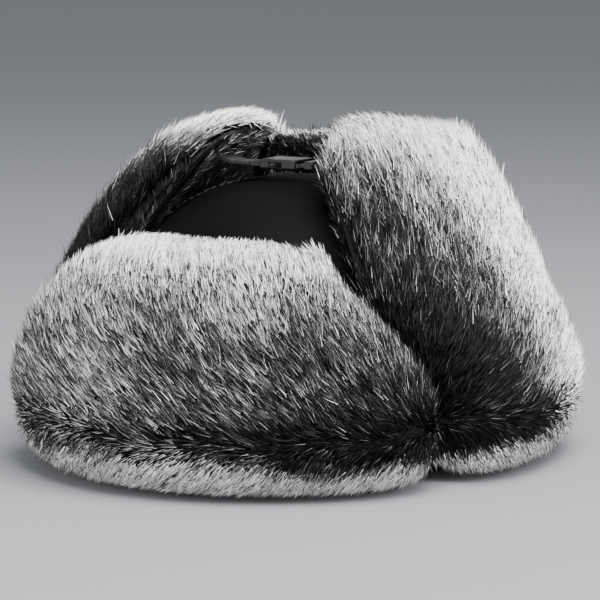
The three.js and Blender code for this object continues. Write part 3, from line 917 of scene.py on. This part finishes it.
# ---- stage ----
class HAT_OT_stage(bpy.types.Operator):
    """Set the floor, the lights and the camera"""

    bl_idname = "hat.stage"
    bl_label = "Stage"

    def execute(self, context):
        look = context.scene.hat_look
        self.floor(look)
        self.lights(look)
        self.camera(context, look)
        return {"FINISHED"}

    def floor(self, look):
        deselect()
        level = LOWEST - FLOOR_CLEARANCE
        bpy.ops.mesh.primitive_plane_add(size=60, location=(0, 0, level))
        floor = bpy.context.object
        floor.name = "floor"
        bpy.ops.object.transform_apply(location=True, rotation=True, scale=True)
        s = Shader("floor_paper", Roughness=0.9, Specular_IOR_Level=0.1)
        grey = tuple(look.floor_colour)
        s.feed(Base_Color=s.mix(s.noise(1.2, 2.0), grey, [c * 0.96 for c in grey]))
        floor.data.materials.append(s.material)

    def lights(self, look):
        world = bpy.data.worlds.new("soft_room")
        bpy.context.scene.world = world
        world.use_nodes = True
        background = world.node_tree.nodes["Background"]
        background.inputs["Color"].default_value = (0.86, 0.88, 0.92, 1)
        background.inputs["Strength"].default_value = look.room_light
        self.softbox("key", (0.55, -0.35, 1.5), 1.1, look.key_light)
        self.softbox("left", (-1.3, -1.2, 0.35), 1.0, look.key_light * 0.35)
        self.softbox("front", (0.8, -1.5, 0.16), 0.8, look.key_light * 0.28)
        self.softbox("right", (1.5, 0.1, 0.7), 1.0, look.key_light * 0.45)

    def softbox(self, name, place, size, power):
        deselect()
        bpy.ops.object.light_add(type="AREA", location=place)
        lamp = bpy.context.object
        lamp.name = f"light_{name}"
        lamp.data.shape = "SQUARE"
        lamp.data.size = size
        lamp.data.energy = power
        aim = Vector((0, 0, 70 * MM)) - Vector(place)
        lamp.rotation_euler = aim.to_track_quat("-Z", "Y").to_euler()

    def camera(self, context, look):
        """Stands off from the point that it looks at, turned about the hat and raised."""
        turn, rise = look.camera_turn, look.camera_rise
        back = Vector((math.sin(turn) * math.cos(rise), -math.cos(turn) * math.cos(rise), math.sin(rise)))
        data = bpy.data.cameras.new("camera")
        data.lens = look.camera_lens
        data.sensor_width = 36
        camera = bpy.data.objects.new("camera", data)
        context.scene.collection.objects.link(camera)
        camera.location = Vector((0, 0, look.camera_aim)) + back * look.camera_distance
        camera.rotation_mode = "QUATERNION"
        camera.rotation_quaternion = (-back).to_track_quat("-Z", "Y")
        data.clip_start, data.clip_end = 0.05, 20
        context.scene.camera = camera


# ---- settings, panel and main ----
def length_setting(name, description, default):
    return bpy.props.FloatProperty(
        name=name, description=description, default=default, precision=4, subtype="DISTANCE", unit="LENGTH"
    )


def number_setting(name, description, default):
    return bpy.props.FloatProperty(name=name, description=description, default=default, min=0)


def angle_setting(name, description, degrees):
    return bpy.props.FloatProperty(
        name=name, description=description, default=math.radians(degrees), subtype="ANGLE", unit="ROTATION"
    )


def colour_setting(name, description, default):
    return bpy.props.FloatVectorProperty(
        name=name, description=description, default=default, size=3, min=0, max=1, subtype="COLOR"
    )


class HatLook(bpy.types.PropertyGroup):
    """Sizes, colours and lights that a user would change"""

    hair_length: length_setting("Hair length", "Length of a typical guard hair", 19 * MM)
    hair_width: length_setting("Hair width", "Width of a guard hair at its thickest", 0.42 * MM)
    leather_colour: colour_setting("Leather", "Colour of the crown's leather", (0.0012, 0.0012, 0.0013))
    leather_roughness: number_setting("Leather roughness", "Roughness of the crown's leather", 0.62)
    floor_colour: colour_setting("Floor", "Colour of the floor", (0.2, 0.205, 0.215))
    room_light: number_setting("Room light", "Strength of the even light all round", 0.85)
    key_light: bpy.props.FloatProperty(
        name="Key light", description="Power of the large light overhead", default=85, unit="POWER"
    )
    camera_turn: angle_setting("Camera turn", "How far the camera stands round to the wearer's left", 30)
    camera_rise: angle_setting("Camera rise", "How far the camera looks down", 8)
    camera_distance: length_setting("Camera distance", "From the camera to the hat's middle", 1.55)
    camera_aim: length_setting("Camera aim", "Height of the point that the camera looks at", 73.4 * MM)
    camera_lens: number_setting("Camera lens", "Focal length in millimetres", 173.9)


class HAT_PT_panel(bpy.types.Panel):
    """The hat's pieces, one button each"""

    bl_idname = "HAT_PT_panel"
    bl_label = "Trapper hat"
    bl_space_type = "VIEW_3D"
    bl_region_type = "UI"
    bl_category = "Hat"

    def draw(self, context):
        for name in HatLook.__annotations__:
            self.layout.prop(context.scene.hat_look, name)
        for operator in OPERATORS:
            self.layout.operator(operator.bl_idname)


OPERATORS = (
    HAT_OT_crown,
    HAT_OT_lining,
    HAT_OT_flap_leather,
    HAT_OT_fold_webs,
    HAT_OT_fur,
    HAT_OT_strap,
    HAT_OT_buckle,
    HAT_OT_stage,
)
CLASSES = (HatLook, *OPERATORS, HAT_PT_panel)
HAIR_COUNTS = {"front_flap": 95000, "neck_flap": 84000, "left_ear_flap": 69000, "right_ear_flap": 69000}


def register():
    for cls in CLASSES:
        bpy.utils.register_class(cls)
    bpy.types.Scene.hat_look = bpy.props.PointerProperty(type=HatLook)


def unregister():
    del bpy.types.Scene.hat_look
    for cls in reversed(CLASSES):
        bpy.utils.unregister_class(cls)


def main():
    register()
    MATERIALS.update(build_materials(bpy.context.scene.hat_look))
    bpy.ops.hat.crown()
    bpy.ops.hat.lining()
    bpy.ops.hat.flap_leather()
    bpy.ops.hat.fold_webs()
    for seed, (flap, hairs) in enumerate(HAIR_COUNTS.items()):
        bpy.ops.hat.fur(flap=flap, hairs=hairs, seed=seed + 1)
    bpy.ops.hat.strap()
    bpy.ops.hat.buckle()
    bpy.ops.hat.stage()


if __name__ == "__main__":
    main()
